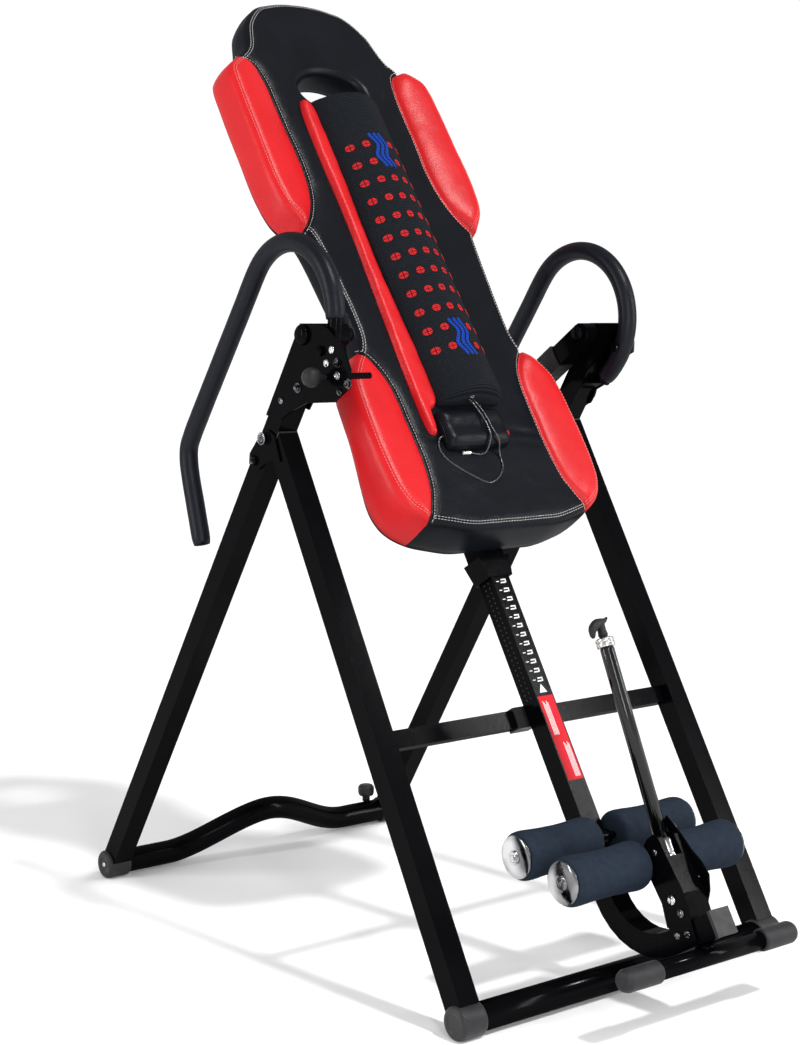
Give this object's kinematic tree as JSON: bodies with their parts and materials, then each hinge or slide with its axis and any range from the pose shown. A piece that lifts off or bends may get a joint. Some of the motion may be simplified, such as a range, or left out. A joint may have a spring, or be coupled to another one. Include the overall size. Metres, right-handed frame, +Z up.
{
  "type": "inversion table",
  "caption": "Folding A-frame inversion table with a padded tilting bed, a ribbed massage pad, looped hand rails and a sliding boom with foam ankle rollers.",
  "frame": {"origin": "on the floor, midway across the width and along the length of the table", "axes": "+Z up, -Y towards the foot end, X across the width"},
  "size_m": [0.742, 1.2937, 1.6577],
  "materials": {
    "black_steel": "gloss powder coat",
    "bright_steel": "polished",
    "dark_plastic": "fine moulded grain",
    "grey_plastic": "fine moulded grain",
    "grip_foam": "smooth closed-cell foam",
    "roller_foam": "matt closed-cell foam",
    "board_wood": "painted plywood",
    "cushion_leather": "grained black leatherette",
    "red_leather": "grained red leatherette",
    "black_leather": "grained black leatherette",
    "pad_fabric": "ribbed woven fabric",
    "cord_vinyl": "satin vinyl"
  },
  "bodies": {
    "rear_frame": {"rear_leg_left": "black_steel", "rear_leg_right": "black_steel", "rear_floor_bar": "black_steel", "rear_cap_left": "dark_plastic", "rear_cap_right": "dark_plastic", "rear_stud": "dark_plastic", "pivot_bracket_left": "black_steel", "pivot_bracket_right": "black_steel", "pivot_bolt_left": "black_steel", "pivot_bolt_right": "black_steel", "handle_tube_left": "black_steel", "handle_tube_right": "black_steel", "handle_foam_left": "grip_foam", "handle_foam_right": "grip_foam"},
    "front_frame": {"front_leg_left": "black_steel", "front_leg_right": "black_steel", "front_leg_cap_left": "grey_plastic", "front_leg_cap_right": "grey_plastic", "front_floor_bar": "black_steel", "front_cap_left": "grey_plastic", "front_cap_right": "grey_plastic", "cross_bar": "black_steel", "boom_rest": "dark_plastic"},
    "bed": {"bed_frame": "black_steel", "swing_arm_left": "black_steel", "swing_arm_right": "black_steel", "arm_sleeve_left": "dark_plastic", "arm_sleeve_right": "dark_plastic", "bed_board": "board_wood", "bed_cushion": "cushion_leather", "massage_pad": "pad_fabric", "pad_flap": "red_leather", "controller": "black_leather", "pad_lead": "cord_vinyl", "plug_lead": "cord_vinyl", "lead_plug": "bright_steel"},
    "boom": {"boom_tube": "black_steel", "boom_cap": "grey_plastic", "foot_bar": "black_steel", "foot_cap_left": "dark_plastic", "foot_cap_right": "dark_plastic", "rear_axle": "black_steel"},
    "ankle_clamp": {"clamp_housing": "dark_plastic", "front_axle": "black_steel", "sector_plate": "dark_plastic", "lever_tube": "black_steel", "lever_collar": "bright_steel"},
    "pull_grip": {"pull_grip": "dark_plastic"},
    "ring_pin_left": {"ring_pin_left": "bright_steel"},
    "ring_pin_right": {"ring_pin_right": "bright_steel"},
    "rear_roller_left": {"rear_roller_left": "roller_foam", "rear_roller_cap_left": "bright_steel"},
    "rear_roller_right": {"rear_roller_right": "roller_foam", "rear_roller_cap_right": "bright_steel"},
    "front_roller_left": {"front_roller_left": "roller_foam", "front_roller_cap_left": "bright_steel"},
    "front_roller_right": {"front_roller_right": "roller_foam", "front_roller_cap_right": "bright_steel"},
    "knob_pin": {"knob_pin": "dark_plastic"}
  },
  "joints": [
    {"name": "inversion", "type": "hinge", "parent": "rear_frame", "child": "bed", "pos_m": [0.015, -0.03484, 1.043], "axis": [-1, 0, 0], "range_deg": [0, 144]},
    {"name": "frame_fold", "type": "hinge", "parent": "rear_frame", "child": "front_frame", "pos_m": [0.015, 0.10816, 0.834], "axis": [1, 0, 0], "range_deg": [0, 55]},
    {"name": "boom_height", "type": "slide", "parent": "bed", "child": "boom", "axis": [0, 0.5195, 0.8545], "range_m": [-0.05, 0.2]},
    {"name": "ankle_close", "type": "slide", "parent": "boom", "child": "ankle_clamp", "axis": [0, 0.8545, -0.5195], "range_m": [0, 0.03]},
    {"name": "grip_pull", "type": "slide", "parent": "ankle_clamp", "child": "pull_grip", "axis": [0, 0.4064, 0.9137], "range_m": [0, 0.012], "stiffness_N_per_m": 600},
    {"name": "knob_pull", "type": "slide", "parent": "rear_frame", "child": "knob_pin", "axis": [-1, 0, 0], "range_m": [0, 0.01], "stiffness_N_per_m": 600},
    {"name": "ring_pull_left", "type": "slide", "parent": "front_frame", "child": "ring_pin_left", "axis": [-1, 0, 0], "range_m": [0, 0.012], "stiffness_N_per_m": 600},
    {"name": "ring_pull_right", "type": "slide", "parent": "front_frame", "child": "ring_pin_right", "axis": [1, 0, 0], "range_m": [0, 0.012], "stiffness_N_per_m": 600},
    {"name": "rear_roller_spin_left", "type": "hinge", "parent": "boom", "child": "rear_roller_left", "pos_m": [0.015, -0.37305, 0.23724], "axis": [1, 0, 0], "continuous": true},
    {"name": "rear_roller_spin_right", "type": "hinge", "parent": "boom", "child": "rear_roller_right", "pos_m": [0.015, -0.37305, 0.23724], "axis": [1, 0, 0], "continuous": true},
    {"name": "front_roller_spin_left", "type": "hinge", "parent": "ankle_clamp", "child": "front_roller_left", "pos_m": [0.015, -0.47882, 0.2215], "axis": [1, 0, 0], "continuous": true},
    {"name": "front_roller_spin_right", "type": "hinge", "parent": "ankle_clamp", "child": "front_roller_right", "pos_m": [0.015, -0.47882, 0.2215], "axis": [1, 0, 0], "continuous": true}
  ]
}
